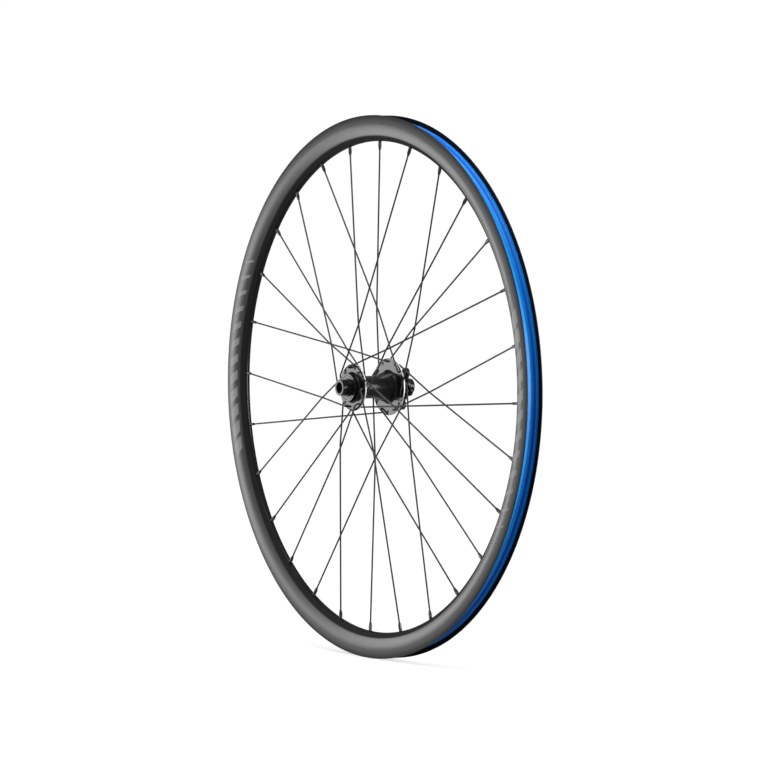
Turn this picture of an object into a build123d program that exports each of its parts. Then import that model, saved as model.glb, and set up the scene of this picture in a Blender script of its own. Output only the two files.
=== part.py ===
"""Front road-bicycle wheel for a disc brake: a hollow rim, laced spokes and a sealed-bearing hub.

Frame: origin at the wheel's centre, +Y along the axle towards the brake side, +Z up, wheel plane XZ.
Angles about the axle are counted from +Z towards +X.
"""
import os
from math import cos, radians, sin

from build123d import *

# Rim
BEAD_SEAT_DIAMETER = 622.0
RIM_EDGE_HEIGHT = 6.0        # rim edge above the bead seat
RIM_DEPTH = 30.0             # rim edge to nipple bed
RIM_WIDTH = 22.0             # widest point of the side walls
RIM_WIDEST_DROP = 9.4        # widest point below the rim edge
RIM_EDGE_WIDTH = 21.2        # across the outer corners of the edges
RIM_SHOULDER_WIDTH = 12.6    # where the curved wall meets the straight flank
RIM_SHOULDER_HEIGHT = 5.0    # shoulder above the nipple bed
RIM_BED_WIDTH = 6.8
RIM_INNER_WIDTH = 19.0       # between the walls at the bead seat
RIM_LIP_WIDTH = 1.5          # thickness of each edge at its top
BEAD_SEAT_WIDTH = 3.4
CHANNEL_DEPTH = 3.8          # centre channel below the bead seat
CHANNEL_FLOOR_WIDTH = 7.4
RIM_SIDE_WALL = 1.4
RIM_BED_WALL = 2.0
RIM_TYRE_WALL = 1.4
TAPE_THICKNESS = 0.5
TAPE_EDGE_GAP = 0.1          # between the tape's edge and the wall
VALVE_HOLE_DIAMETER = 6.5

# Spokes and nipples
SPOKES_PER_FLANGE = 14
SPOKE_CROSSES = 3
SPOKE_DIAMETER = 2.0
SPOKE_PHASE = 2.05           # angle of a brake-side nipple next to the top
SPOKE_HOLE_DIAMETER = 2.6
SPOKE_HEAD_DIAMETER = 3.8
SPOKE_HEAD_THICKNESS = 0.7
OUTSIDE_STAND_OFF = 3.9      # axis of an outside spoke off its flange face at the elbow
INSIDE_STAND_OFF = 2.0
LACE_GAP = 0.08              # between two spokes where they cross woven
NIPPLE_FLATS = 3.2
NIPPLE_REACH = 10.0          # nipple below the nipple bed
NIPPLE_HEAD_FLATS = 5.5
NIPPLE_HEAD_HEIGHT = 2.4
NIPPLE_SEAT_GAP = 0.5        # room for a tilted head on the inside of the bed
NIPPLE_HOLE_DIAMETER = 5.1

# Hub shell
SHELL_WIDTH = 77.6           # over its two end faces
BARREL_DIAMETER = 33.2
WAIST_DIAMETER = 26.6
WAIST_START = -23.0
WAIST_END = 0.5
NECK_DIAMETER = 33.0         # plain-side end of the shell's taper
CONE_DIAMETER = 36.8         # brake-side end of the shell's cone
CONE_FOOT = 1.6              # cone's small flare on to the flange
FLANGE_THICKNESS = 2.6
FLANGE_MARGIN = 4.0          # flange edge beyond the spoke-hole circle
FLANGE_BEVEL = 1.0           # taken off the outer corner of each flange
PLAIN_FLANGE_FACE = -32.3    # outer face
PLAIN_HOLE_CIRCLE = 46.8
BRAKE_FLANGE_FACE = 20.8     # outer face
BRAKE_HOLE_CIRCLE = 59.0
SHELL_BORE = 22.0

# Brake rotor mount
ROTOR_BOLTS = 6
ROTOR_BOLT_CIRCLE = 44.0
ROTOR_TAP_DIAMETER = 4.2
ROTOR_SPIGOT_LENGTH = 3.6    # from the rotor's face to the shell's end
ROTOR_LUG_THICKNESS = 3.8
ROTOR_LUG_WIDTH = 12.4
ROTOR_LUG_PHASE = 42.0
ROTOR_SPIGOT_DIAMETER = 34.8
SPIGOT_CHAMFER = 0.8

# Axle, end caps and bearings
HUB_WIDTH = 100.0            # over the end caps
AXLE_BORE = 12.1
AXLE_LENGTH = 90.0
AXLE_CORE_DIAMETER = 17.4
BEARING_BORE = 15.0
BEARING_OUTSIDE = 28.0
BEARING_WIDTH = 7.0
BEARING_RACE_WALL = 1.75
BEARING_RECESS = 1.4         # bearing face inside the shell's end
SEAL_RECESS = 0.3
CAP_DIAMETER = 18.6
CAP_COLLAR_DIAMETER = 21.0
CAP_COLLAR_WIDTH = 2.1
CAP_SHIELD_THICKNESS = 1.0
CAP_SPIGOT_DIAMETER = 17.6
CAP_LEAD_IN = 0.6

# Fits, on the radius
BEARING_FIT = 0.01
SEAL_CLEARANCE = 0.05
SHIELD_CLEARANCE = 0.3

BEAD_SEAT_RADIUS = BEAD_SEAT_DIAMETER / 2
RIM_EDGE_RADIUS = BEAD_SEAT_RADIUS + RIM_EDGE_HEIGHT
RIM_BED_RADIUS = RIM_EDGE_RADIUS - RIM_DEPTH
CHANNEL_RADIUS = BEAD_SEAT_RADIUS - CHANNEL_DEPTH
SEAT_INNER = RIM_INNER_WIDTH / 2 - BEAD_SEAT_WIDTH
NIPPLE_PIVOT_RADIUS = RIM_BED_RADIUS + RIM_BED_WALL / 2
HOLE_PITCH = 360 / SPOKES_PER_FLANGE
LACE_ANGLE = SPOKE_CROSSES * HOLE_PITCH
VALVE_ANGLE = SPOKE_PHASE - HOLE_PITCH / 4
BEARING_FACE = SHELL_WIDTH / 2 - BEARING_RECESS
BEARING_SHOULDER = BEARING_FACE - BEARING_WIDTH
ROTOR_FACE = SHELL_WIDTH / 2 - ROTOR_SPIGOT_LENGTH


def around(radius, angle, axial=0.0):
    """Point at an angle about the axle."""
    return Vector(radius * sin(radians(angle)), axial, radius * cos(radians(angle)))


def turned(*outline):
    """Solid turned about the axle from a closed outline of (radius, axial) points."""
    return revolve(make_face(Polyline(*outline, close=True)), Axis.Y)


def ring(inner, outer, start, end):
    return turned((inner, start), (outer, start), (outer, end), (inner, end))


def drill(diameter, start, end):
    """Round cutter from one point to another."""
    run = end - start
    return extrude(Plane(start, z_dir=run) * Circle(diameter / 2), run.length)


def copies(shape, count, first=0.0):
    """Copies of a shape spread evenly about the axle."""
    return [shape.rotate(Axis.Y, first + n * 360 / count) for n in range(count)]


def mirrored_outline(half):
    """Closed outline from the half on the +Y side, given from the inside of the wheel outwards."""
    return half + [(radius, -axial) for radius, axial in reversed(half)]


def tyre_bed():
    """The +Y half of the bed that the tyre sits on, from the channel to the wall."""
    return [
        (CHANNEL_RADIUS, CHANNEL_FLOOR_WIDTH / 2),
        (BEAD_SEAT_RADIUS, SEAT_INNER),
        (BEAD_SEAT_RADIUS, RIM_INNER_WIDTH / 2),
    ]


def rim_side(sign):
    """Outer face of one side wall: edge, widest point, curved wall and straight flank."""
    bed = (RIM_BED_RADIUS, sign * RIM_BED_WIDTH / 2)
    shoulder = (RIM_BED_RADIUS + RIM_SHOULDER_HEIGHT, sign * RIM_SHOULDER_WIDTH / 2)
    widest = (RIM_EDGE_RADIUS - RIM_WIDEST_DROP, sign * RIM_WIDTH / 2)
    edge = (RIM_EDGE_RADIUS, sign * RIM_EDGE_WIDTH / 2)
    wall = TangentArc(widest, shoulder, tangent=(-1, 0))
    return Line(edge, widest) + wall + Line(shoulder, bed)


def chamber_half():
    """The +Y half of the hollow chamber's outline, from the nipple bed to the middle of the roof."""
    bed = (RIM_BED_RADIUS + RIM_BED_WALL, RIM_BED_WIDTH / 2)
    shoulder = (RIM_BED_RADIUS + RIM_SHOULDER_HEIGHT, RIM_SHOULDER_WIDTH / 2 - RIM_SIDE_WALL)
    widest = (RIM_EDGE_RADIUS - RIM_WIDEST_DROP, RIM_WIDTH / 2 - RIM_SIDE_WALL)
    seat = BEAD_SEAT_RADIUS - RIM_TYRE_WALL
    roof = CHANNEL_RADIUS - RIM_TYRE_WALL
    bend = TangentArc(widest, shoulder, tangent=(-1, 0)) @ 0.5
    side = [(bed[0], 0), bed, shoulder, bend, widest]
    top = [(seat, widest[1]), (seat, SEAT_INNER), (roof, CHANNEL_FLOOR_WIDTH / 2), (roof, 0)]
    return Polyline(*side, *top)


def rim_chamber():
    half = chamber_half()
    return make_face(half + half.mirror(Plane.XZ))


def rim_section():
    """The rolled rim's section: tyre bed above, hollow chamber, nipple bed below."""
    lip = (RIM_EDGE_RADIUS, RIM_EDGE_WIDTH / 2 - RIM_LIP_WIDTH)
    edge = (RIM_EDGE_RADIUS, RIM_EDGE_WIDTH / 2)
    bed = (RIM_BED_RADIUS, RIM_BED_WIDTH / 2)
    inside = [edge, lip] + tyre_bed()[::-1]
    inside += [(radius, -axial) for radius, axial in reversed(inside)]
    floor = Line(bed, (bed[0], -bed[1]))
    outer = make_face(rim_side(1) + Polyline(*inside) + rim_side(-1) + floor)
    return outer - rim_chamber()


def nipple_angles():
    """Angles of all nipples: the flanges' spokes take turns around the rim."""
    return [SPOKE_PHASE + n * HOLE_PITCH / 2 for n in range(2 * SPOKES_PER_FLANGE)]


def valve_cutter():
    start = around(RIM_BED_RADIUS - RIM_BED_WALL, VALVE_ANGLE)
    return drill(VALVE_HOLE_DIAMETER, start, around(RIM_EDGE_RADIUS, VALVE_ANGLE))


def rim():
    hoop = revolve(rim_section(), Axis.Y)
    bed_top = RIM_BED_RADIUS + 2 * RIM_BED_WALL
    bed_under = RIM_BED_RADIUS - RIM_BED_WALL
    holes = [
        drill(NIPPLE_HOLE_DIAMETER, around(bed_under, angle), around(bed_top, angle))
        for angle in nipple_angles()
    ]
    return hoop - holes - valve_cutter()


def rim_tape():
    """Sealing tape over the whole tyre bed, wall to wall."""
    under = tyre_bed()
    under[-1] = (BEAD_SEAT_RADIUS, RIM_INNER_WIDTH / 2 - TAPE_EDGE_GAP)
    over = [(radius + TAPE_THICKNESS, axial) for radius, axial in under]
    across = [(radius, -axial) for radius, axial in reversed(under)] + under
    back = over[::-1] + [(radius, -axial) for radius, axial in over]
    return turned(*across, *back) - valve_cutter()


class Flange:
    """One spoke flange: its outer face, hole circle and the way that is outwards."""

    def __init__(self, face, hole_circle, first_outside):
        self.way = 1 if face > 0 else -1
        self.outer = face
        self.inner = face - self.way * FLANGE_THICKNESS
        self.middle = (self.outer + self.inner) / 2
        self.hole_radius = hole_circle / 2
        self.edge_radius = self.hole_radius + FLANGE_MARGIN
        self.first_outside = first_outside

    def hole_angles(self):
        return [self.first_outside + n * HOLE_PITCH for n in range(SPOKES_PER_FLANGE)]


PLAIN_FLANGE = Flange(PLAIN_FLANGE_FACE, PLAIN_HOLE_CIRCLE, SPOKE_PHASE - HOLE_PITCH / 2)
BRAKE_FLANGE = Flange(BRAKE_FLANGE_FACE, BRAKE_HOLE_CIRCLE, SPOKE_PHASE + HOLE_PITCH)


def spoke_route(flange, outside):
    """Points of a spoke from its head to the rim, for a hole at angle 0.

    An outside spoke runs on the outer face and leads, an inside spoke trails. At their last
    crossing they are woven, so the outside spoke passes on the inner side of the other.
    """
    lead = 1 if outside else -1
    turn = lead * flange.way
    if outside:
        head = flange.inner - flange.way * SPOKE_HEAD_THICKNESS
        run = flange.outer + flange.way * OUTSIDE_STAND_OFF
    else:
        head = flange.outer + flange.way * SPOKE_HEAD_THICKNESS
        run = flange.inner - flange.way * INSIDE_STAND_OFF
    elbow = around(flange.hole_radius, 0, run)
    pivot = around(NIPPLE_PIVOT_RADIUS, lead * LACE_ANGLE)
    from_hole = radians(LACE_ANGLE - HOLE_PITCH / 2)
    near = flange.hole_radius * sin(from_hole)
    share = near / (near + NIPPLE_PIVOT_RADIUS * sin(radians(HOLE_PITCH / 2)))
    crossing = elbow + (pivot - elbow) * share
    woven = flange.outer * (1 - share) - turn * (SPOKE_DIAMETER + LACE_GAP) / 2
    crossing = Vector(crossing.X, woven, crossing.Z)
    return around(flange.hole_radius, 0, head), elbow, crossing, pivot


def spoke_end(crossing, pivot):
    """Where the spoke enters its nipple."""
    return pivot - (pivot - crossing).normalized() * (NIPPLE_REACH + RIM_BED_WALL / 2)


def spoke(flange, outside):
    """Round wire with a flat head and a bent elbow, for a hole at angle 0."""
    head, elbow, crossing, pivot = spoke_route(flange, outside)
    path = Polyline(head, elbow, crossing, spoke_end(crossing, pivot))
    start = Plane(head, z_dir=elbow - head)
    wire = sweep(start * Circle(SPOKE_DIAMETER / 2), path, transition=Transition.RIGHT)
    return wire + extrude(start * Circle(SPOKE_HEAD_DIAMETER / 2), SPOKE_HEAD_THICKNESS)


def nipple(flange, outside):
    """Square nipple in line with its spoke, with a hexagon head inside the rim."""
    _, _, crossing, pivot = spoke_route(flange, outside)
    end = spoke_end(crossing, pivot)
    base = Plane(end, x_dir=(0, 1, 0), z_dir=pivot - end)
    seat = NIPPLE_REACH + RIM_BED_WALL + NIPPLE_SEAT_GAP
    body = extrude(base * Rectangle(NIPPLE_FLATS, NIPPLE_FLATS), seat)
    hexagon = RegularPolygon(NIPPLE_HEAD_FLATS / 2, 6, major_radius=False, rotation=30)
    return body + extrude(base.offset(seat) * hexagon, NIPPLE_HEAD_HEIGHT)


def shell_outline():
    """Closed outline of the hub shell, from the plain side to the brake side and back inside."""
    end = SHELL_WIDTH / 2
    barrel = BARREL_DIAMETER / 2
    plain, brake = PLAIN_FLANGE, BRAKE_FLANGE
    bevel_start = FLANGE_MARGIN / 2
    return [
        (BEARING_OUTSIDE / 2, -end),
        (barrel, -end),
        (barrel, plain.outer - CONE_FOOT),
        (barrel + CONE_FOOT, plain.outer),
        (plain.edge_radius - bevel_start, plain.outer),
        (plain.edge_radius, plain.outer + FLANGE_BEVEL),
        (plain.edge_radius, plain.inner),
        (NECK_DIAMETER / 2, plain.inner),
        (WAIST_DIAMETER / 2, WAIST_START),
        (WAIST_DIAMETER / 2, WAIST_END),
        (CONE_DIAMETER / 2, brake.inner - CONE_FOOT),
        (CONE_DIAMETER / 2 + CONE_FOOT, brake.inner),
        (brake.edge_radius, brake.inner),
        (brake.edge_radius, brake.outer - FLANGE_BEVEL),
        (brake.edge_radius - bevel_start, brake.outer),
        (barrel, brake.outer),
        (barrel, ROTOR_FACE),
        (ROTOR_SPIGOT_DIAMETER / 2, ROTOR_FACE),
        (ROTOR_SPIGOT_DIAMETER / 2, end - SPIGOT_CHAMFER),
        (ROTOR_SPIGOT_DIAMETER / 2 - SPIGOT_CHAMFER, end),
        (BEARING_OUTSIDE / 2, end),
        (BEARING_OUTSIDE / 2, BEARING_SHOULDER),
        (SHELL_BORE / 2, BEARING_SHOULDER),
        (SHELL_BORE / 2, -BEARING_SHOULDER),
        (BEARING_OUTSIDE / 2, -BEARING_SHOULDER),
    ]


def rotor_lugs():
    """Six round-ended lugs that carry the brake rotor, with their tapped holes."""
    reach = ROTOR_BOLT_CIRCLE / 2
    back = Plane((0, ROTOR_FACE - ROTOR_LUG_THICKNESS, 0), x_dir=(0, 0, 1), z_dir=(0, 1, 0))
    arm = Pos(reach / 2, 0) * Rectangle(reach, ROTOR_LUG_WIDTH)
    lug = arm + Pos(reach, 0) * Circle(ROTOR_LUG_WIDTH / 2)
    lug -= Pos(reach, 0) * Circle(ROTOR_TAP_DIAMETER / 2)
    lug = extrude(back * lug, ROTOR_LUG_THICKNESS)
    room = ring(0, BARREL_DIAMETER / 2, -ROTOR_FACE, ROTOR_FACE)
    return copies(lug - room, ROTOR_BOLTS, ROTOR_LUG_PHASE)


def spoke_holes(flange):
    hole = drill(
        SPOKE_HOLE_DIAMETER,
        around(flange.hole_radius, 0, flange.middle - FLANGE_THICKNESS),
        around(flange.hole_radius, 0, flange.middle + FLANGE_THICKNESS),
    )
    return copies(hole, SPOKES_PER_FLANGE, flange.first_outside)


def hub_shell():
    """Turned shell with two drilled flanges and the rotor mount in one piece."""
    body = turned(*shell_outline()) + rotor_lugs()
    return body - spoke_holes(PLAIN_FLANGE) - spoke_holes(BRAKE_FLANGE)


def axle():
    """Tube with two seats for the bearings and a thicker core between their shoulders."""
    end = AXLE_LENGTH / 2
    seat = BEARING_BORE / 2 - BEARING_FIT
    core = AXLE_CORE_DIAMETER / 2
    half = [(AXLE_BORE / 2, end), (seat, end), (seat, BEARING_SHOULDER), (core, BEARING_SHOULDER)]
    return turned(*mirrored_outline(half))


def end_cap():
    """Brake-side end cap: dropout face, collar, dust shield and the spigot on the inner race."""
    end = HUB_WIDTH / 2
    bore = AXLE_BORE / 2
    shield = SHELL_WIDTH / 2
    shield_radius = BEARING_OUTSIDE / 2 - SHIELD_CLEARANCE
    collar = CAP_COLLAR_DIAMETER / 2
    return turned(
        (bore, end - CAP_LEAD_IN),
        (bore + CAP_LEAD_IN, end),
        (CAP_DIAMETER / 2, end),
        (CAP_DIAMETER / 2, shield + CAP_COLLAR_WIDTH),
        (collar, shield + CAP_COLLAR_WIDTH),
        (collar, shield),
        (shield_radius, shield),
        (shield_radius, shield - CAP_SHIELD_THICKNESS),
        (CAP_SPIGOT_DIAMETER / 2, shield - CAP_SHIELD_THICKNESS),
        (CAP_SPIGOT_DIAMETER / 2, BEARING_FACE),
        (BEARING_BORE / 2, BEARING_FACE),
        (BEARING_BORE / 2, AXLE_LENGTH / 2),
        (bore, AXLE_LENGTH / 2),
    )


def bearing():
    """Brake-side sealed bearing: inner race, the sealed ball pack and outer race."""
    inner = BEARING_BORE / 2
    outer = BEARING_OUTSIDE / 2 - BEARING_FIT
    start, face = BEARING_SHOULDER, BEARING_FACE
    pack_outer = outer - BEARING_RACE_WALL
    pack_inner = inner + BEARING_RACE_WALL + SEAL_CLEARANCE
    return {
        "inner_race": ring(inner, inner + BEARING_RACE_WALL, start, face),
        "sealed_balls": ring(pack_inner, pack_outer, start + SEAL_RECESS, face - SEAL_RECESS),
        "outer_race": ring(pack_outer, outer, start, face),
    }


def build():
    """All pieces by name."""
    pieces = {"rim": rim(), "rim_tape": rim_tape(), "hub_shell": hub_shell(), "axle": axle()}
    nipples = []
    for side, flange in (("plain", PLAIN_FLANGE), ("brake", BRAKE_FLANGE)):
        for run, outside in (("outside", True), ("inside", False)):
            first = flange.first_outside + (0 if outside else HOLE_PITCH)
            half = SPOKES_PER_FLANGE // 2
            for n, wire in enumerate(copies(spoke(flange, outside), half, first)):
                pieces[f"spoke_{side}_{run}_{n + 1}"] = wire
            nipples += copies(nipple(flange, outside), half, first)
    pieces["nipples"] = Compound(nipples)
    for side, turn in (("brake", 0), ("plain", 180)):
        pieces[f"end_cap_{side}"] = end_cap().rotate(Axis.Z, turn)
        for name, piece in bearing().items():
            pieces[f"bearing_{side}_{name}"] = piece.rotate(Axis.Z, turn)
    return pieces


if __name__ == "__main__":
    os.makedirs("parts", exist_ok=True)
    for name, piece in build().items():
        export_step(piece, f"parts/{name}.step")
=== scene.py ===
"""Front disc-brake road wheel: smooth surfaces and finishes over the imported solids.

The wheel's lengths are millimetres in its own frame: Y along the axle, Z up, angles from +Z
towards +X. The studio's lengths are metres.
"""

from math import cos, pi, radians, sin

import bpy
import numpy as np
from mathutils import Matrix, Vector


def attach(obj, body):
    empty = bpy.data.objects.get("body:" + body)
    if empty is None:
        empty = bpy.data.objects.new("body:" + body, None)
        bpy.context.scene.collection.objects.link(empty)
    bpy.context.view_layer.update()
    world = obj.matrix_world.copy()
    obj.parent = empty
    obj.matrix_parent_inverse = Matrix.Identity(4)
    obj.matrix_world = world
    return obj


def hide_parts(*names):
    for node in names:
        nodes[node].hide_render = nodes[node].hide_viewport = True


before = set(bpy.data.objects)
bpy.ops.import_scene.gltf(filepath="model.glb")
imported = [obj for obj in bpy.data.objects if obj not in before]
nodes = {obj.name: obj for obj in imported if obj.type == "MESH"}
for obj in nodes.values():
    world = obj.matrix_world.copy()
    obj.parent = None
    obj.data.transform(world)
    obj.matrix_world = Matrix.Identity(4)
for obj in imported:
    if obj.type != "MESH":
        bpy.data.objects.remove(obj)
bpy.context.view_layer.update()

MM = 0.001
TINY = 1e-6                # keeps a division away from zero
SAME_POINT = 1e-4          # points nearer than this are one
SHARP_EDGE = radians(40)

# Points round each form
RIM_POINTS = 540
SHELL_POINTS = 160
CAP_POINTS = 128
LUG_POINTS = 72
VALVE_POINTS = 48
NIPPLE_POINTS = 24
SPOKE_POINTS = 20

# Rounded corners of an outline
FILLET_STEPS = 4
GUARD_SHARE = 0.4          # distance of a guard point from its arc, as a share of the fillet
MOST_OF_SIDE = 0.49        # share of a side that one corner may take

# Lacing, as in the solids
HOLES = 14                                   # in each flange
HOLE_PITCH = 360 / HOLES
NIPPLE_PITCH = HOLE_PITCH / 2
FIRST_NIPPLE = 2.05                          # degrees
CROSSINGS = 3                                # of a spoke with others of its flange
LACE_ANGLE = CROSSINGS * HOLE_PITCH          # from a spoke's hole to its nipple
VALVE_ANGLE = FIRST_NIPPLE - NIPPLE_PITCH / 2
PIVOT_RADIUS = 288.0                         # where spokes meet the rim's middle plane
NIPPLE_FOOT = 11.0                           # from there in to a nipple's foot
FLANGES = {
    # way outwards, outer face, inner face, hole radius, angle of the first outside hole
    "plain": (-1, -32.3, -29.7, 23.4, FIRST_NIPPLE - NIPPLE_PITCH),
    "brake": (1, 20.8, 18.2, 29.5, FIRST_NIPPLE + HOLE_PITCH),
}


# Surfaces

def quads(rows, cols, wrap_rows=True, wrap_cols=True):
    """Quads over a grid of points, row by row.

    A wrapped direction joins its last line to its first.
    """
    starts = np.arange(rows - (not wrap_rows)), np.arange(cols - (not wrap_cols))
    row, col = (grid.ravel() for grid in np.meshgrid(*starts, indexing="ij"))
    here, there = row * cols, (row + 1) % rows * cols
    beside = (col + 1) % cols
    return np.stack([here + col, here + beside, there + beside, there + col], axis=1)


def lid(first, count, flip):
    """Quads across a ring of points: each spans two neighbours and the two that mirror them."""
    k = np.arange(count // 2 - 1)
    faces = first + np.stack([k, k + 1, count - 2 - k, count - 1 - k], axis=1)
    return faces[:, ::-1] if flip else faces


def tube(rows, cols):
    """Quads of a tube of rings with a lid on each end."""
    side = quads(rows, cols, wrap_rows=False)
    return np.concatenate([side, lid(0, cols, True), lid((rows - 1) * cols, cols, False)])


def outward(points, faces):
    """Turn the faces round if they enclose a negative volume, as the sum of their cones."""
    a, b, c, d = (points[faces[:, n]] for n in range(4))
    halves = np.cross(b, c), np.cross(c, d)
    volume = sum(np.einsum("ij,ij->", a, half) for half in halves)
    return faces if volume > 0 else faces[:, ::-1]


def joined(surfaces):
    """Several closed surfaces as one set of points and quads."""
    starts = np.cumsum([0] + [len(points) for points, _ in surfaces])
    faces = [outward(*surface) + start for surface, start in zip(surfaces, starts)]
    return np.concatenate([points for points, _ in surfaces]), np.concatenate(faces)


def added(name, data):
    """A new object in the scene, at the origin."""
    obj = bpy.data.objects.new(name, data)
    bpy.context.scene.collection.objects.link(obj)
    return obj


def smooth_mesh(name, points, faces):
    """A mesh of points in metres and quads, shaded smooth."""
    mesh = bpy.data.meshes.new(name)
    mesh.from_pydata(points.tolist(), [], faces.tolist())
    mesh.polygons.foreach_set("use_smooth", np.ones(len(mesh.polygons), bool))
    return mesh


def piece(name, points, faces, body, stands_for, finish, slot):
    """A new object from points in mm and quads; it rides on a body and stands for a CAD node."""
    mesh = smooth_mesh(name, points * MM, outward(points, faces))
    mesh.set_sharp_from_angle(angle=SHARP_EDGE)
    mesh.materials.append(finish)
    obj = added(name, mesh)
    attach(obj, body)
    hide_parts(stands_for)
    return obj


def unit(v):
    """The direction of a vector, with length 1."""
    return v / np.linalg.norm(v)


def around(radius, degrees, axial=0.0):
    """The point at a radius and an angle about the axle: (r sin t, y, r cos t)."""
    return np.array([radius * sin(radians(degrees)), axial, radius * cos(radians(degrees))])


def turned_about_axle(points, degrees):
    """Points turned about the axle by an angle."""
    c, s = cos(radians(degrees)), sin(radians(degrees))
    return points @ np.array([[c, 0, -s], [0, 1, 0], [s, 0, c]])


def whole_turn(count):
    """Angles of points evenly round a circle."""
    return np.linspace(0, 2 * pi, count, endpoint=False)


def circle(turn, across, up):
    """Unit circle in the plane of two directions: across cos t + up sin t."""
    turn = turn[:, None]
    return np.cos(turn) * across + np.sin(turn) * up


def corner_arc(back, on, bend, steps):
    """Arc tangent to both sides of a corner at the origin, and how much of the sides it cuts.

    back and on are the directions of the sides. The arc meets them at bend / tan(half) from the
    corner, where half is half the angle between them, and its centre is bend / sin(half) away on
    the line between them. Its points are the slerp from one end to the other about the centre.
    """
    half = np.arccos(np.clip((back * on).sum(-1, keepdims=True), -1, 1)) / 2
    cut = bend / np.tan(half)
    middle = back + on
    middle = middle / np.maximum(np.linalg.norm(middle, axis=-1, keepdims=True), TINY)
    centre = middle * bend / np.sin(half)
    first, last = back * cut - centre, on * cut - centre
    turn = np.maximum(pi - 2 * half, TINY)
    share = np.linspace(0, 1, steps + 1)[:, None]
    arc = np.sin((1 - share) * turn) * first + np.sin(share * turn) * last
    return centre + arc / np.sin(turn), cut


def rounded(corners):
    """Closed outline whose corners become arcs.

    Each row is (radius, axial, fillet). A guard point beside each end of an arc keeps the sides
    flat.
    """
    table = np.array(corners, float)[:, None]
    spot, fillet = table[..., :2], table[..., 2:]
    back, on = np.roll(spot, 1, 0) - spot, np.roll(spot, -1, 0) - spot
    length_back, length_on = (np.linalg.norm(v, axis=-1, keepdims=True) for v in (back, on))
    back, on = back / length_back, on / length_on
    arc, cut = corner_arc(back, on, fillet, FILLET_STEPS)
    guard = cut + GUARD_SHARE * fillet
    before = back * np.minimum(guard, MOST_OF_SIDE * length_back)
    after = on * np.minimum(guard, MOST_OF_SIDE * length_on)
    line = (spot + np.concatenate([before, arc, after], axis=1)).reshape(-1, 2)
    keep = np.linalg.norm(line - np.roll(line, 1, 0), axis=1) > SAME_POINT
    return line[keep]


def mirrored(half):
    """Closed outline: the rows on the +Y side, then those off the middle again on the -Y side."""
    other = half[half[:, 1] > 0][::-1]
    return np.concatenate([half, other * (1, -1, 1)])


def turned(outline, count):
    """Closed (radius, axial) outline carried round the axle: (r sin t, y, r cos t)."""
    turn = whole_turn(count)[:, None]
    radius, axial = outline[:, 0], outline[:, 1]
    points = np.stack([radius * np.sin(turn), axial + 0 * turn, radius * np.cos(turn)], axis=-1)
    return points.reshape(-1, 3), quads(count, len(outline))


# Finishes

COOL = 1.02                # blue of a grey, as a share of its red and green
WHITE = (1.0, 1.0, 1.0)
BLACK = (0.0, 0.0, 0.0)
MIX_SHARE, MIX_FIRST, MIX_SECOND, MIX_RESULT = 0, 6, 7, 2     # a Mix node's colour sockets


class Value:
    """A socket's value; arithmetic on it adds Math nodes."""

    def __init__(self, owner, socket):
        self.owner, self.socket = owner, socket

    def math(self, operation, *values):
        """A Math node on values and numbers."""
        sockets = dict(enumerate(values))
        return self.owner.node("ShaderNodeMath", {"operation": operation}, sockets)

    def __add__(self, other):
        return self.math("ADD", self, other)

    __radd__ = __add__

    def __sub__(self, other):
        return self.math("SUBTRACT", self, other)

    def __rsub__(self, other):
        return self.math("SUBTRACT", other, self)

    def __mul__(self, other):
        return self.math("MULTIPLY", self, other)

    __rmul__ = __mul__

    def __truediv__(self, other):
        return self.math("DIVIDE", self, other)

    def __rtruediv__(self, other):
        return self.math("DIVIDE", other, self)

    def __pow__(self, other):
        return self.math("POWER", self, other)

    def __rpow__(self, other):
        return self.math("POWER", other, self)

    def __abs__(self):
        return self.math("ABSOLUTE", self)

    def __lt__(self, other):
        return self.math("LESS_THAN", self, other)

    def __gt__(self, other):
        return self.math("GREATER_THAN", self, other)

    def fade(self, low, high):
        """0 below low, 1 above high, smooth between."""
        settings = {"interpolation_type": "SMOOTHSTEP"}
        return self.owner.node("ShaderNodeMapRange", settings, {0: self, 1: low, 2: high})

    def wrapped(self, low, high):
        """The value less as many times the range as brings it between low and high."""
        return self.math("WRAP", self, high, low)

    def beside(self, output):
        """Another output of the same node."""
        return Value(self.owner, self.socket.node.outputs[output])


class Nodes:
    """A node tree, with one method that makes every node."""

    def __init__(self, tree):
        self.tree = tree

    def node(self, kind, settings=None, sockets=None, out=0):
        """A new node with its settings, then the values or links of its sockets."""
        made = self.tree.nodes.new(kind)
        for key, value in (settings or {}).items():
            setattr(made, key, value)
        for key, value in (sockets or {}).items():
            self.feed(made.inputs[key], value)
        return Value(self, made.outputs[out])

    def feed(self, socket, value):
        """Link a value to a socket, or set the socket to a number or a colour."""
        if isinstance(value, Value):
            self.tree.links.new(value.socket, socket)
        elif isinstance(value, tuple) and len(value) == 3 and socket.type == "RGBA":
            socket.default_value = (*value, 1)
        else:
            socket.default_value = value

    def mix(self, share, first, second):
        """Colour between two colours."""
        sockets = {MIX_SHARE: share, MIX_FIRST: first, MIX_SECOND: second}
        return self.node("ShaderNodeMix", {"data_type": "RGBA"}, sockets, out=MIX_RESULT)

    def rays(self):
        """1 for the camera's rays, and 1 for those that show the background in gloss or glass."""
        camera_ray = self.node("ShaderNodeLightPath", out="Is Camera Ray")
        glossy = camera_ray.beside("Is Glossy Ray")
        return camera_ray, glossy + camera_ray.beside("Is Transmission Ray")


def socket_name(key):
    """A shader socket's name: specular_ior_level is Specular IOR Level."""
    return key.replace("_", " ").title().replace("Ior", "IOR")


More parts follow.
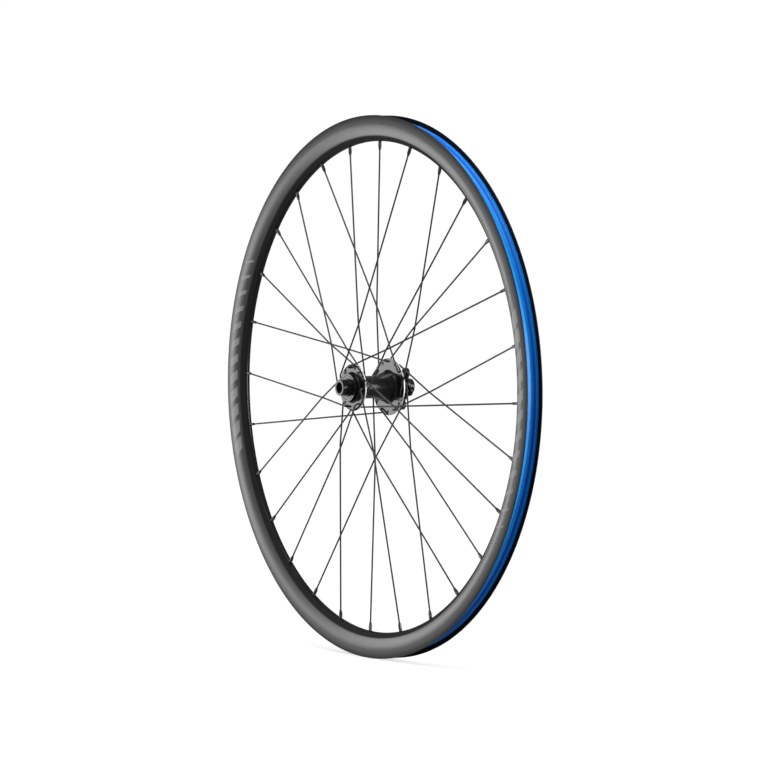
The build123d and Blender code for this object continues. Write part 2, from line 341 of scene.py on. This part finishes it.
class Finish(Nodes):
    """A material on a Principled shader; the values given at the start are the same all over."""

    def __init__(self, name, **fixed):
        self.material = bpy.data.materials.new(name)
        self.material.use_nodes = True
        super().__init__(self.material.node_tree)
        self.shader = self.tree.nodes["Principled BSDF"]
        self.set(**fixed)

    def set(self, **sockets):
        """Feed sockets of the shader."""
        for socket, value in sockets.items():
            self.feed(self.shader.inputs[socket_name(socket)], value)

    def dulled(self, share, colour):
        """Mix in a matt coat without gloss."""
        matt = self.node("ShaderNodeBsdfDiffuse", None, {"Color": colour})
        shine = Value(self, self.shader.outputs[0])
        mixed = self.node("ShaderNodeMixShader", None, {0: share, 1: shine, 2: matt})
        self.feed(self.tree.nodes["Material Output"].inputs["Surface"], mixed)

    def place(self):
        """Object coordinates, in metres."""
        return self.node("ShaderNodeTexCoord", out="Object")

    def split(self, vector):
        """The x, y and z of a vector."""
        x = self.node("ShaderNodeSeparateXYZ", sockets={0: vector})
        return x, x.beside(1), x.beside(2)

    def polar(self):
        """Radius and axial place in mm, and angle in radians about the axle."""
        x, y, z = self.split(self.place())
        radius = (x * x + z * z) ** 0.5
        return radius * (1 / MM), y * (1 / MM), x.math("ARCTAN2", x, z)

    def facing(self):
        """How far the surface faces along the axle: 1 on flat turned faces, 0 on the barrel."""
        _, along, _ = self.split(self.node("ShaderNodeTexCoord", out="Normal"))
        return abs(along)

    def combine(self, x, y, z):
        """A vector of three values."""
        return self.node("ShaderNodeCombineXYZ", sockets={0: x, 1: y, 2: z})

    def noise(self, vector, scale, detail):
        """Cloudy values about 0.5."""
        sockets = {"Vector": vector, "Scale": scale, "Detail": detail}
        return self.node("ShaderNodeTexNoise", None, sockets)

    def mottle(self, noise, dark, light, low=0.3, high=0.7):
        """Colour that goes from dark to light as a noise goes from low to high."""
        return self.mix(noise.fade(low, high), dark, light)

    def bump(self, height, distance, strength):
        """A normal tilted by a height."""
        sockets = {"Height": height, "Distance": distance, "Strength": strength}
        return self.node("ShaderNodeBump", None, sockets)


def grey(level):
    """A slightly cool grey."""
    return (level, level, level * COOL)


# Where the rim's finish changes: radii, and distances from the middle plane or a nipple
BED_MIDDLE, WALL_MIDDLE = 287.0, 302.0
BED_EDGE = (287.4, 287.9)
NIPPLE_HOLE, NIPPLE_HOLE_TOP = (2.3, 2.75), (287.6, 288.4)
FLANK_TOP = (292.1, 294.4)
HOOK_FOOT, HOOK_SIDE = (311.4, 312.0), (9.6, 10.0)
LIP = (307.5, 317.5)

# Slanted bars on the rim's walls
BAR_FIELD_ANGLE = radians(-82)
BAR_FIELD_LENGTH = 264.0
BAR_PITCH = 22.0
BAR_SLANT = 0.7                              # along the wall for each mm of radius
BAR_SHARE, BAR_SHRINK = 0.45, 0.7            # of a pitch: at the field's middle, over its length
BAR_FOOT, BAR_TOP = (296.2, 296.6), (309.4, 309.8)
BAR_START, BAR_END = (0.0, 0.03), (-0.02, 0.02)     # soft edges, in pitches
BAR_GREY = 0.17


def rim_bars(radius, angle):
    """1 on the bars of two fields that stand opposite each other on each wall.

    A bar is the part of every pitch, measured along the wall and slanted with the radius, below a
    share that shrinks along the field.
    """
    field = (angle - BAR_FIELD_ANGLE).wrapped(-pi / 2, pi / 2) * WALL_MIDDLE
    field = field + (radius - WALL_MIDDLE) * BAR_SLANT
    within = (field / BAR_PITCH).wrapped(0.0, 1.0)
    share = BAR_SHARE - field * (BAR_SHRINK / BAR_FIELD_LENGTH)
    bar = (1 - (within - share).fade(*BAR_END)) * within.fade(*BAR_START)
    bar = bar * (abs(field) < BAR_FIELD_LENGTH / 2)
    return bar * radius.fade(*BAR_FOOT) * (1 - radius.fade(*BAR_TOP))


def rim_finish():
    """Satin black anodising with fine draw marks along the hoop, cloudy gloss and grey bars.

    The flanks, bed, hooks and lips are duller. The flanks and hooks are painted a darker grey
    as shade, and a ring of painted shade darkens the bed round each nipple.
    """
    f = Finish("rim_satin_black")
    radius, axial, angle = f.polar()
    drawn = f.noise(f.combine(angle * 2.0, axial * 0.9, radius * 0.9), scale=6.0, detail=3.0)
    cloud = f.noise(f.place(), scale=9.0, detail=3.0)
    pitch = radians(NIPPLE_PITCH)
    along = (angle - radians(FIRST_NIPPLE)).wrapped(-pitch / 2, pitch / 2) * BED_MIDDLE
    hole = (along * along + axial * axial) ** 0.5
    # painted shade: a near-black ring on the bed round each nipple stands for the shade where the
    # nipple enters the rim
    ring = (1 - hole.fade(*NIPPLE_HOLE)) * (1 - radius.fade(*NIPPLE_HOLE_TOP))
    bed = 1 - radius.fade(*BED_EDGE)
    painted_dark_flank = (1 - radius.fade(*FLANK_TOP)) * (1 - bed)
    painted_dark_hook = radius.fade(*HOOK_FOOT) * (1 - abs(axial).fade(*HOOK_SIDE))
    lip = radius.fade(*LIP) * (1 - painted_dark_hook)
    bar = rim_bars(radius, angle)
    base = f.mottle(drawn, grey(0.009), grey(0.018))
    # painted shade: the flanks and hooks get a darker grey than the rest of the wall
    base = f.mix(painted_dark_flank + painted_dark_hook, base, grey(0.004))
    base = f.mix(ring, base, grey(0.001))
    gloss = 0.30 + cloud * 0.06 + drawn * 0.06
    f.set(base_color=f.mix(bar, base, grey(BAR_GREY)),
          roughness=gloss + painted_dark_flank * 0.3 + bar * 0.1 - bed * 0.16,
          normal=f.bump(drawn, distance=0.00002, strength=0.25))
    f.dulled(painted_dark_flank * 0.7 + (bed + painted_dark_hook) * 0.85 + lip * 0.6, grey(0.003))
    return f.material


# The tape's blues, and the radii where one ends and the next begins. The deeper blues of the
# slope and the seat are painted shade.
FLOOR_BLUES = (0.005, 0.19, 0.57), (0.009, 0.225, 0.64)
SLOPE_SHADE_BLUE, SLOPE_FOOT = (0.001, 0.086, 0.39), (308.0, 308.8)
SEAT_SHADE_BLUE, SLOPE_TOP = (0.004, 0.162, 0.57), (310.9, 311.4)


def tape_finish():
    """Blue sealing film, drawn tight with faint ripples along it; its slopes and seats are
    painted a deeper blue as shade.
    """
    f = Finish("tape_blue_film", specular_ior_level=0.12)
    radius, axial, angle = f.polar()
    ripple = f.noise(f.combine(angle * 25.0, axial * 0.35, 0.0), scale=1.6, detail=3.0)
    cloud = f.noise(f.place(), scale=14.0, detail=2.0)
    base = f.mottle(cloud, *FLOOR_BLUES, low=0.35, high=0.65)
    # painted shade: deeper blue on the channel's slopes and on the seats
    base = f.mix(radius.fade(*SLOPE_FOOT), base, SLOPE_SHADE_BLUE)
    base = f.mix(radius.fade(*SLOPE_TOP), base, SEAT_SHADE_BLUE)
    f.set(base_color=base, roughness=0.36 + ripple * 0.12,
          normal=f.bump(ripple, distance=0.0003, strength=0.3))
    return f.material


def grained_finish(name, scale, detail, dark, light, rough, vary, low=0.3, **fixed):
    """A dark coat with a fine grain in its colour and its gloss."""
    f = Finish(name, **fixed)
    grain = f.noise(f.place(), scale, detail)
    f.set(base_color=f.mottle(grain, grey(dark), grey(light), low=low),
          roughness=rough + grain * vary)
    return f.material


def wire_finish():
    """Black-coated drawn wire with a slight grain."""
    return grained_finish("spoke_black_coat", scale=900.0, detail=2.0, dark=0.006, light=0.014,
                          rough=0.38, vary=0.12, specular_ior_level=0.3)


def nipple_finish():
    """Black anodised nipples, glossy and finely mottled."""
    return grained_finish("nipple_black", scale=500.0, detail=3.0, dark=0.005, light=0.015,
                          rough=0.12, vary=0.12, low=0.35, specular_ior_level=0.2)


def rubber_finish():
    """Moulded black seal rubber."""
    return grained_finish("seal_rubber", scale=700.0, detail=3.0, dark=0.012, light=0.02,
                          rough=0.6, vary=0.15)


# Where the hub's finish changes: radii of the flanges' rims, and how far a face is flat
PLAIN_FLANGE_RIM, BRAKE_FLANGE_RIM = (27.0, 27.1), (33.1, 33.2)
ROUND_FACE, FLAT_FACE = (0.6, 0.95), (0.93, 0.99)


def hub_finish(name):
    """Black anodising with fine turning rings: satin on the barrel, clear-coated on flat faces.

    The flanges' rims, the round faces at their outer radii, are turned bright.
    """
    f = Finish(name, specular_ior_level=0.11, coat_roughness=0.07)
    radius, axial, angle = f.polar()
    rings = f.noise(f.combine(radius * 3.0, axial * 3.0, angle * 0.15), scale=4.0, detail=2.0)
    cloud = f.noise(f.place(), scale=60.0, detail=3.0)
    flat = f.facing()
    rims = radius.fade(*PLAIN_FLANGE_RIM) * (axial < 0) + radius.fade(*BRAKE_FLANGE_RIM)
    edge = (1 - flat.fade(*ROUND_FACE)) * rims
    black = f.mottle(cloud, grey(0.002), grey(0.004))
    f.set(base_color=f.mix(edge, black, grey(0.4)), metallic=edge,
          roughness=0.24 + rings * 0.06 + edge * 0.34,
          coat_weight=flat.fade(*FLAT_FACE) * 0.55,
          normal=f.bump(rings, distance=0.00001, strength=0.05))
    return f.material


def metal_finish(name, level, rough):
    """Ground or turned metal with fine rings."""
    f = Finish(name, metallic=1.0)
    radius, axial, angle = f.polar()
    rings = f.noise(f.combine(radius * 4.0, axial * 4.0, angle * 0.2), scale=5.0, detail=2.0)
    f.set(base_color=f.mottle(rings, grey(level * 0.85), grey(level)),
          roughness=rough + rings * 0.1)
    return f.material


# Rim and tape: rows of radius, axial place and fillet, on the +Y side

BED_RADIUS, BED_HALF, BED_CROWN = 286.9, 2.2, 0.3
BED_CORNER = (287.5, 2.9, 0.3)
BED_ROWS, WALL_ROWS = 6, 14
WIDEST_RADIUS, RIM_HALF = 307.6, 11.0
WALL_BEND, WALL_LEAN = 28.2, radians(32.6)
SEAT_RADIUS = 311.0
HOOK = [(317.0, 10.6, 0.45), (317.0, 9.1, 0.55), (SEAT_RADIUS, 9.5, 0.5)]
CHANNEL = [(SEAT_RADIUS, 6.1, 1.2), (307.2, 3.7, 1.6)]
TAPE_EDGE = (SEAT_RADIUS, 9.4, 0.1)
TAPE_THICK = 0.5

VALVE_RADIUS = 3.25
VALVE_CUT = 280.0, 325.0             # radii where the cutter starts and ends


def rim_outline():
    """Rolled section: hooked edges, seats, centre channel, curved walls, flanks and nipple bed.

    The bed is a parabola. The wall is an arc of a circle that is upright at the widest point and
    ends at the flank.
    """
    y = np.linspace(0, BED_HALF, BED_ROWS)
    bed = np.stack([BED_RADIUS + BED_CROWN * (y / BED_HALF) ** 2, y, 0 * y], axis=1)
    t = np.linspace(WALL_LEAN, 0, WALL_ROWS)
    wall_radius = WIDEST_RADIUS - WALL_BEND * np.sin(t)
    wall = np.stack([wall_radius, RIM_HALF - WALL_BEND * (1 - np.cos(t)), 0 * t], axis=1)
    return rounded(mirrored(np.concatenate([bed, [BED_CORNER], wall, HOOK, CHANNEL])))


def tape_outline():
    """Film that lies in the channel and on the seats: its under side, then its top."""
    under = np.array([*reversed(CHANNEL), TAPE_EDGE])
    return rounded(mirrored(np.concatenate([under, under[::-1] + (TAPE_THICK, 0, 0)])))


def pierced(obj):
    """Cut the valve hole: a round cutter along the valve's radius, taken away from the piece."""
    out = around(1, VALVE_ANGLE)
    side = np.array([out[2], 0, -out[0]])
    ring = VALVE_RADIUS * circle(whole_turn(VALVE_POINTS), side, np.array([0, 1, 0]))
    points = np.concatenate([ring + radius * out for radius in VALVE_CUT])
    ends = np.arange(2 * VALVE_POINTS).reshape(2, -1)
    faces = [*quads(2, VALVE_POINTS, wrap_rows=False).tolist(), ends[0, ::-1].tolist(),
             ends[1].tolist()]
    mesh = bpy.data.meshes.new("valve_cutter")
    mesh.from_pydata((points * MM).tolist(), [], faces)
    cutter = added("valve_cutter", mesh)
    hole = obj.modifiers.new("valve_hole", "BOOLEAN")
    hole.object, hole.operation, hole.solver = cutter, "DIFFERENCE", "EXACT"
    bpy.context.view_layer.update()
    cut = obj.evaluated_get(bpy.context.evaluated_depsgraph_get())
    result = bpy.data.meshes.new_from_object(cut)
    obj.modifiers.clear()
    obj.data = result
    bpy.data.objects.remove(cutter)


# Spokes and nipples

SPOKE_RADIUS = 1.0
HEAD_HEIGHT = 0.7                    # of a spoke's head, out from its flange
OUTSIDE_RUN, INSIDE_RUN = 3.9, 2.0   # of the elbow's corner, out from its flange
HALF_WEAVE = 1.04                    # half the distance between crossing spokes
ELBOW_BEND, WEAVE_BEND, BEND_STEPS = 2.4, 60.0, 8
SPOKE_IN_NIPPLE = 2.0
SPOKE_HEAD = np.array([
    # along, radius
    (0.0, 0.4), (0.03, 0.8), (0.12, 1.35), (0.35, 1.8), (0.62, 1.9), (0.7, 1.85),
    (0.9, SPOKE_RADIUS),
])
NIPPLE = np.array([
    # along, half size, sides, squareness
    (0.0, 1.05, 4, 0.0), (0.0, 1.35, 4, 0.0), (0.25, 1.55, 4, 0.0), (2.4, 1.62, 4, 0.1),
    (2.9, 1.6, 4, 0.95), (8.9, 1.6, 4, 0.95), (9.3, 1.98, 4, 0.0), (12.3, 1.98, 4, 0.0),
    (12.5, 1.98, 6, 0.0), (12.5, 2.6, 6, 0.9), (14.6, 2.75, 6, 0.9), (14.9, 2.4, 6, 0.6),
])
CORNER_REACH = 1.3                   # most that a corner reaches, as a share of the half size


def spoke_route(way, outer, inner, hole, outside):
    """Head, elbow, woven crossing and nipple pivot of a spoke whose hole is at angle 0.

    The spoke and its partner mirror each other in a plane through the axle. They cross in it, so
    the ends' distances from that plane divide the spoke.
    """
    lead = 1 if outside else -1
    head = inner - way * HEAD_HEIGHT if outside else outer + way * HEAD_HEIGHT
    run = outer + way * OUTSIDE_RUN if outside else inner - way * INSIDE_RUN
    pivot = around(PIVOT_RADIUS, lead * LACE_ANGLE)
    elbow = around(hole, 0, run)
    near = hole * sin(radians(LACE_ANGLE - NIPPLE_PITCH))
    share = near / (near + PIVOT_RADIUS * sin(radians(NIPPLE_PITCH)))
    crossing = elbow + (pivot - elbow) * share
    crossing[1] = outer * (1 - share) - lead * way * HALF_WEAVE
    return around(hole, 0, head), elbow, crossing, pivot


def bent(points, bends, steps):
    """Route from point to point with an arc of the given bend radius at each inner point."""
    route = [points[:1]]
    for before, corner, after, bend in zip(points, points[1:], points[2:], bends):
        arc, _ = corner_arc(unit(before - corner), unit(after - corner), bend, steps)
        route.append(corner + arc)
    return np.concatenate([*route, points[-1:]])


def spoke_surface(route):
    """Wire along its route, with a domed round head at the start.

    The route lies in one plane with the axle's direction, so each ring is spanned by that plane's
    normal and the normal of the route in it.
    """
    head, elbow, crossing, pivot = route
    end = pivot - unit(pivot - crossing) * (NIPPLE_FOOT - SPOKE_IN_NIPPLE)
    corners = np.array([head, elbow, crossing, end])
    line = bent(corners, (ELBOW_BEND, WEAVE_BEND), BEND_STEPS)
    along = np.gradient(line, axis=0)
    along /= np.linalg.norm(along, axis=1, keepdims=True)
    across = unit(np.cross([0, 1, 0], crossing - elbow))
    start = along[0]
    lift, size = SPOKE_HEAD.T
    line = np.concatenate([head + start * lift[:, None], line[1:]])
    along = np.concatenate([np.repeat(start[None], len(lift), 0), along[1:]])
    size = np.concatenate([size, np.full(len(line) - len(lift), SPOKE_RADIUS)])
    up = np.cross(along, across)
    ring = circle(whole_turn(SPOKE_POINTS), across, up[:, None])
    rings = line[:, None] + size[:, None, None] * ring
    return rings.reshape(-1, 3), tube(len(line), SPOKE_POINTS)


def nipple_surface(route):
    """Nipple along its spoke: round tapered foot, square flats, round collar and hexagon head.

    Each ring is a polygon with cut corners: the half size times 1 / cos of the angle from the
    nearest side's middle. Its squareness is 1 for that polygon and 0 for a circle.
    """
    _, _, crossing, pivot = route
    axis = unit(pivot - crossing)
    foot = pivot - axis * NIPPLE_FOOT
    across = unit(np.array([0, 1, 0]) - axis * axis[1])
    along, half_size, sides, squareness = NIPPLE.T[..., None]
    turn = whole_turn(NIPPLE_POINTS)
    step = 2 * pi / sides
    folded = (turn + step / 2) % step - step / 2
    polygon = np.minimum(1 / np.cos(folded), CORNER_REACH)
    reach = half_size * (1 + squareness * (polygon - 1))
    ring = circle(turn, across, np.cross(axis, across))
    rings = (foot + axis * along)[:, None] + reach[..., None] * ring
    return rings.reshape(-1, 3), tube(len(NIPPLE), NIPPLE_POINTS)


def lace(wire, nipple):
    """The spokes of each flange, half of them outside it and half inside, and all the nipples."""
    count = HOLES // 2
    nipples = []
    for side, (way, outer, inner, hole, first) in FLANGES.items():
        for run, outside in (("outside", True), ("inside", False)):
            route = spoke_route(way, outer, inner, hole, outside)
            spoke, spoke_faces = spoke_surface(route)
            foot, foot_faces = nipple_surface(route)
            start = first + (0 if outside else HOLE_PITCH)
            for n in range(count):
                turn = start + n * 360 / count
                place = f"{side}_{run}_{n + 1}"
                piece("wire_" + place, turned_about_axle(spoke, turn), spoke_faces, "wheel",
                      "spoke_" + place, wire, "spoke_steel")
                nipples.append((turned_about_axle(foot, turn), foot_faces))
    piece("nipple_set", *joined(nipples), "wheel", "nipples", nipple, "nipple_alloy")


# Hub: rows of radius, axial place and fillet

SHELL = [
    (14.0, -38.8, 0.25), (16.6, -38.8, 0.5), (16.6, -33.9, 0.8), (18.2, -32.3, 0.8),
    (25.4, -32.3, 0.5), (27.4, -31.3, 0.4), (27.4, -29.7, 0.3), (16.5, -29.7, 1.5),
    (13.3, -23.0, 4.0), (13.3, 0.5, 45.0), (18.4, 16.6, 1.0), (20.0, 18.2, 1.0),
    (33.5, 18.2, 0.3), (33.5, 19.8, 0.4), (31.5, 20.8, 0.5), (16.6, 20.8, 1.0),
    (16.6, 35.2, 0.2), (17.4, 35.2, 0.2), (17.4, 38.0, 0.2), (16.6, 38.8, 0.3),
    (14.0, 38.8, 0.25), (14.0, 30.4, 0.2), (11.0, 30.4, 0.3), (11.0, -30.4, 0.3),
    (14.0, -30.4, 0.2),
]
CAP = [
    (6.05, 49.4, 0.2), (6.65, 50.0, 0.15), (9.3, 50.0, 0.35), (9.3, 40.9, 0.4),
    (10.5, 40.9, 0.3), (10.5, 38.8, 0.3), (13.7, 38.8, 0.2), (13.7, 37.8, 0.2),
    (8.8, 37.8, 0.1), (8.8, 37.4, 0.1), (7.5, 37.4, 0.1), (7.5, 45.0, 0.1), (6.05, 45.0, 0.1),
]

LUGS, FIRST_LUG = 6, 42.0            # count, and degrees
BOLT_RADIUS = 22.0                   # of the circle of tapped holes
TAP_RADIUS = 2.1
LUG_HALF = 6.2
LUG_ROOT = 6.4                       # from a tapped hole in to the barrel
LUG_LOW, LUG_HIGH = 31.4, 35.2
LUG_PROFILE = np.array([
    # 0 at the hole or 1 at the outline, step towards the hole, height
    (0, 0.0, LUG_LOW), (0, 0.0, LUG_HIGH - 0.35), (0, -0.35, LUG_HIGH), (0, -0.6, LUG_HIGH),
    (1, 0.8, LUG_HIGH), (1, 0.4, LUG_HIGH), (1, 0.12, LUG_HIGH - 0.12), (1, 0.0, LUG_HIGH - 0.4),
    (1, 0.0, LUG_LOW + 0.4), (1, 0.12, LUG_LOW + 0.12), (1, 0.4, LUG_LOW),
])


def lug_surface(degrees):
    """Rotor lug: rings about its tapped hole, from the hole's wall over the face to the outline.

    The outline's distance from the hole is the lug's half width at its round end, and on the way
    in the nearer of the straight side and the barrel.
    """
    turn = whole_turn(LUG_POINTS)
    side = LUG_HALF / np.maximum(np.abs(np.sin(turn)), TINY)
    barrel = LUG_ROOT / np.maximum(-np.cos(turn), TINY)
    reach = np.where(np.cos(turn) < 0, np.minimum(side, barrel), LUG_HALF)[:, None]
    place, step, height = LUG_PROFILE.T
    distance = TAP_RADIUS + place * (reach - TAP_RADIUS) - step
    across = distance * np.sin(turn)[:, None]
    out = BOLT_RADIUS + distance * np.cos(turn)[:, None]
    points = np.stack([across, np.broadcast_to(height, across.shape), out], axis=-1)
    return turned_about_axle(points.reshape(-1, 3), degrees), quads(LUG_POINTS, len(LUG_PROFILE))


def hub(shell_finish, cap_finish):
    """The turned shell with its lugs, and a turned cap on each end."""
    lugs = [lug_surface(FIRST_LUG + n * 360 / LUGS) for n in range(LUGS)]
    points, faces = joined([turned(rounded(SHELL), SHELL_POINTS), *lugs])
    piece("shell_turned", points, faces, "wheel", "hub_shell", shell_finish, "shell_alloy")
    for side, way in (("brake", 1), ("plain", -1)):
        points, faces = turned(rounded(CAP) * (1, way), CAP_POINTS)
        piece(f"cap_turned_{side}", points, faces, "axle", f"end_cap_{side}", cap_finish,
              "cap_alloy")


def inner_parts():
    """The axle and bearing pieces keep their solids and get a finish."""
    axle = metal_finish("axle_turned", level=0.35, rough=0.3)
    race = metal_finish("bearing_ground", level=0.6, rough=0.2)
    rubber = rubber_finish()
    for name, obj in nodes.items():
        if name == "axle" or name.startswith("bearing_"):
            finish = axle if name == "axle" else rubber if name.endswith("sealed_balls") else race
            obj.data.materials.clear()
            obj.data.materials.append(finish)


# Studio, in metres

CAMERA_AZIMUTH, CAMERA_ELEVATION = radians(56.54), radians(1.847)
CAMERA_DISTANCE = 3.9976
BACK = Vector((sin(CAMERA_AZIMUTH) * cos(CAMERA_ELEVATION),
               -cos(CAMERA_AZIMUTH) * cos(CAMERA_ELEVATION),
               sin(CAMERA_ELEVATION)))
PICTURE = 768                        # pixels across and down
FOCAL_LENGTH = 3418.33               # pixels
AXIS_X, AXIS_Y = 374.6, 386.5        # pixel that the hub's middle falls on
SENSOR = 36.0                        # mm
FAR_CLIP = 100.0

FLOOR_HEIGHT = -0.317
FLAT_REACH = [-7.0, -3.0, 0.0]       # along the view, from the hub
BEND_REACH, BEND_RADIUS = 3.0, 2.0
BACKDROP_RISE = 6.0
HALF_ACROSS = 9.0
FLOOR_COLUMNS, BEND_ROWS = 7, 24
PAPER = 0.3
NEAR_GLOW, GLOW_GAIN, GAIN_REACH = 0.70, 0.21, (0.3, 2.0)
SIDE_LOSS, SIDE_REACH = 0.85, (1.3, 2.6)
AMBIENT = 0.25

LAMPS = [
    # name, place, width and height, power
    ("left_soft", (-0.95, -0.49, -0.02), (0.55, 0.58), 4.4),
    ("right_back_strip", (1.68, 1.25, 0.19), (0.16, 1.0), 48),
    ("right_soft", (2.15, 0.42, 0.0), (1.2, 0.25), 6),
    ("top_back_soft", (-0.06, 0.26, 1.42), (0.5, 0.3), 6),
    ("top_soft", (0.3, -0.45, 0.9), (0.6, 0.6), 12),
]


def aimed(obj, place):
    """Put a camera or lamp at a place, upright and facing the hub."""
    obj.location = place
    obj.rotation_euler = Vector(place).to_track_quat("Z", "Y").to_euler()


def camera():
    """The camera at the photograph's viewing angle, with its lens and shift from pixels."""
    lens = bpy.data.cameras.new("camera")
    middle = (PICTURE - 1) / 2
    lens.sensor_width = SENSOR
    lens.lens = FOCAL_LENGTH / PICTURE * SENSOR
    lens.shift_x, lens.shift_y = (middle - AXIS_X) / PICTURE, (AXIS_Y - middle) / PICTURE
    lens.clip_end = FAR_CLIP
    obj = added("camera", lens)
    aimed(obj, BACK * CAMERA_DISTANCE)
    bpy.context.scene.camera = obj


def paper_finish(away, side):
    """Paper that glows for the camera and in gloss, so that it shows white, and lights nothing.

    The glow grows with the distance behind the hub. In gloss it falls off to the sides.
    """
    f = Finish("studio_paper", base_color=(PAPER, PAPER, PAPER), roughness=0.9,
               emission_strength=1.0)
    x, y, _ = f.split(f.place())
    off = abs(x * float(side[0]) + y * float(side[1]))
    far = (x * float(away[0]) + y * float(away[1])).fade(*GAIN_REACH)
    camera_ray, shown = f.rays()
    seen = camera_ray + shown * (1 - SIDE_LOSS * off.fade(*SIDE_REACH))
    f.set(emission_color=f.mix((NEAR_GLOW + far * GLOW_GAIN) * seen, BLACK, WHITE))
    return f.material


def studio_floor():
    """Pale floor that curves up into a backdrop: flat, then a quarter circle, then upright."""
    away = -np.array([BACK.x, BACK.y]) / np.hypot(BACK.x, BACK.y)
    side = np.array([-away[1], away[0]])
    bend = np.linspace(0, pi / 2, BEND_ROWS)
    curve = BEND_REACH + BEND_RADIUS * np.sin(bend)
    reach = np.concatenate([FLAT_REACH, curve, [BEND_REACH + BEND_RADIUS]])
    climb = BEND_RADIUS * (1 - np.cos(bend))
    rise = np.concatenate([np.zeros(len(FLAT_REACH)), climb, [BACKDROP_RISE]])
    across = np.linspace(-HALF_ACROSS, HALF_ACROSS, FLOOR_COLUMNS)
    flat = reach[:, None, None] * away + across[None, :, None] * side
    height = np.broadcast_to((rise + FLOOR_HEIGHT)[:, None, None], (*flat.shape[:2], 1))
    points = np.concatenate([flat, height], axis=-1).reshape(-1, 3)
    mesh = smooth_mesh("studio_floor", points, quads(len(reach), FLOOR_COLUMNS, False, False))
    mesh.materials.append(paper_finish(away, side))
    added("studio_floor", mesh)


def lamp(name, place, size, power):
    """Soft panel facing the hub."""
    light = bpy.data.lights.new(name, "AREA")
    light.shape, light.energy = "RECTANGLE", power
    light.size, light.size_y = size
    aimed(added(name, light), place)


def studio():
    """Camera, floor, a sky that is white to the camera and in gloss, and the lamps."""
    camera()
    studio_floor()
    world = bpy.data.worlds.new("studio")
    world.use_nodes = True
    sky = Nodes(world.node_tree)
    camera_ray, shown = sky.rays()
    colour = sky.mix(camera_ray + shown, grey(AMBIENT), WHITE)
    sky.feed(sky.tree.nodes["Background"].inputs["Color"], colour)
    bpy.context.scene.world = world
    for row in LAMPS:
        lamp(*row)
    bpy.context.scene.view_settings.view_transform = "Standard"


rim = piece("rim_hoop", *turned(rim_outline(), RIM_POINTS), "wheel", "rim", rim_finish(),
            "rim_alloy")
tape = piece("tape_band", *turned(tape_outline(), RIM_POINTS), "wheel", "rim_tape", tape_finish(),
             "tape_film")
pierced(rim)
pierced(tape)
lace(wire_finish(), nipple_finish())
hub(hub_finish("shell_black_polish"), hub_finish("cap_black_polish"))
inner_parts()
studio()
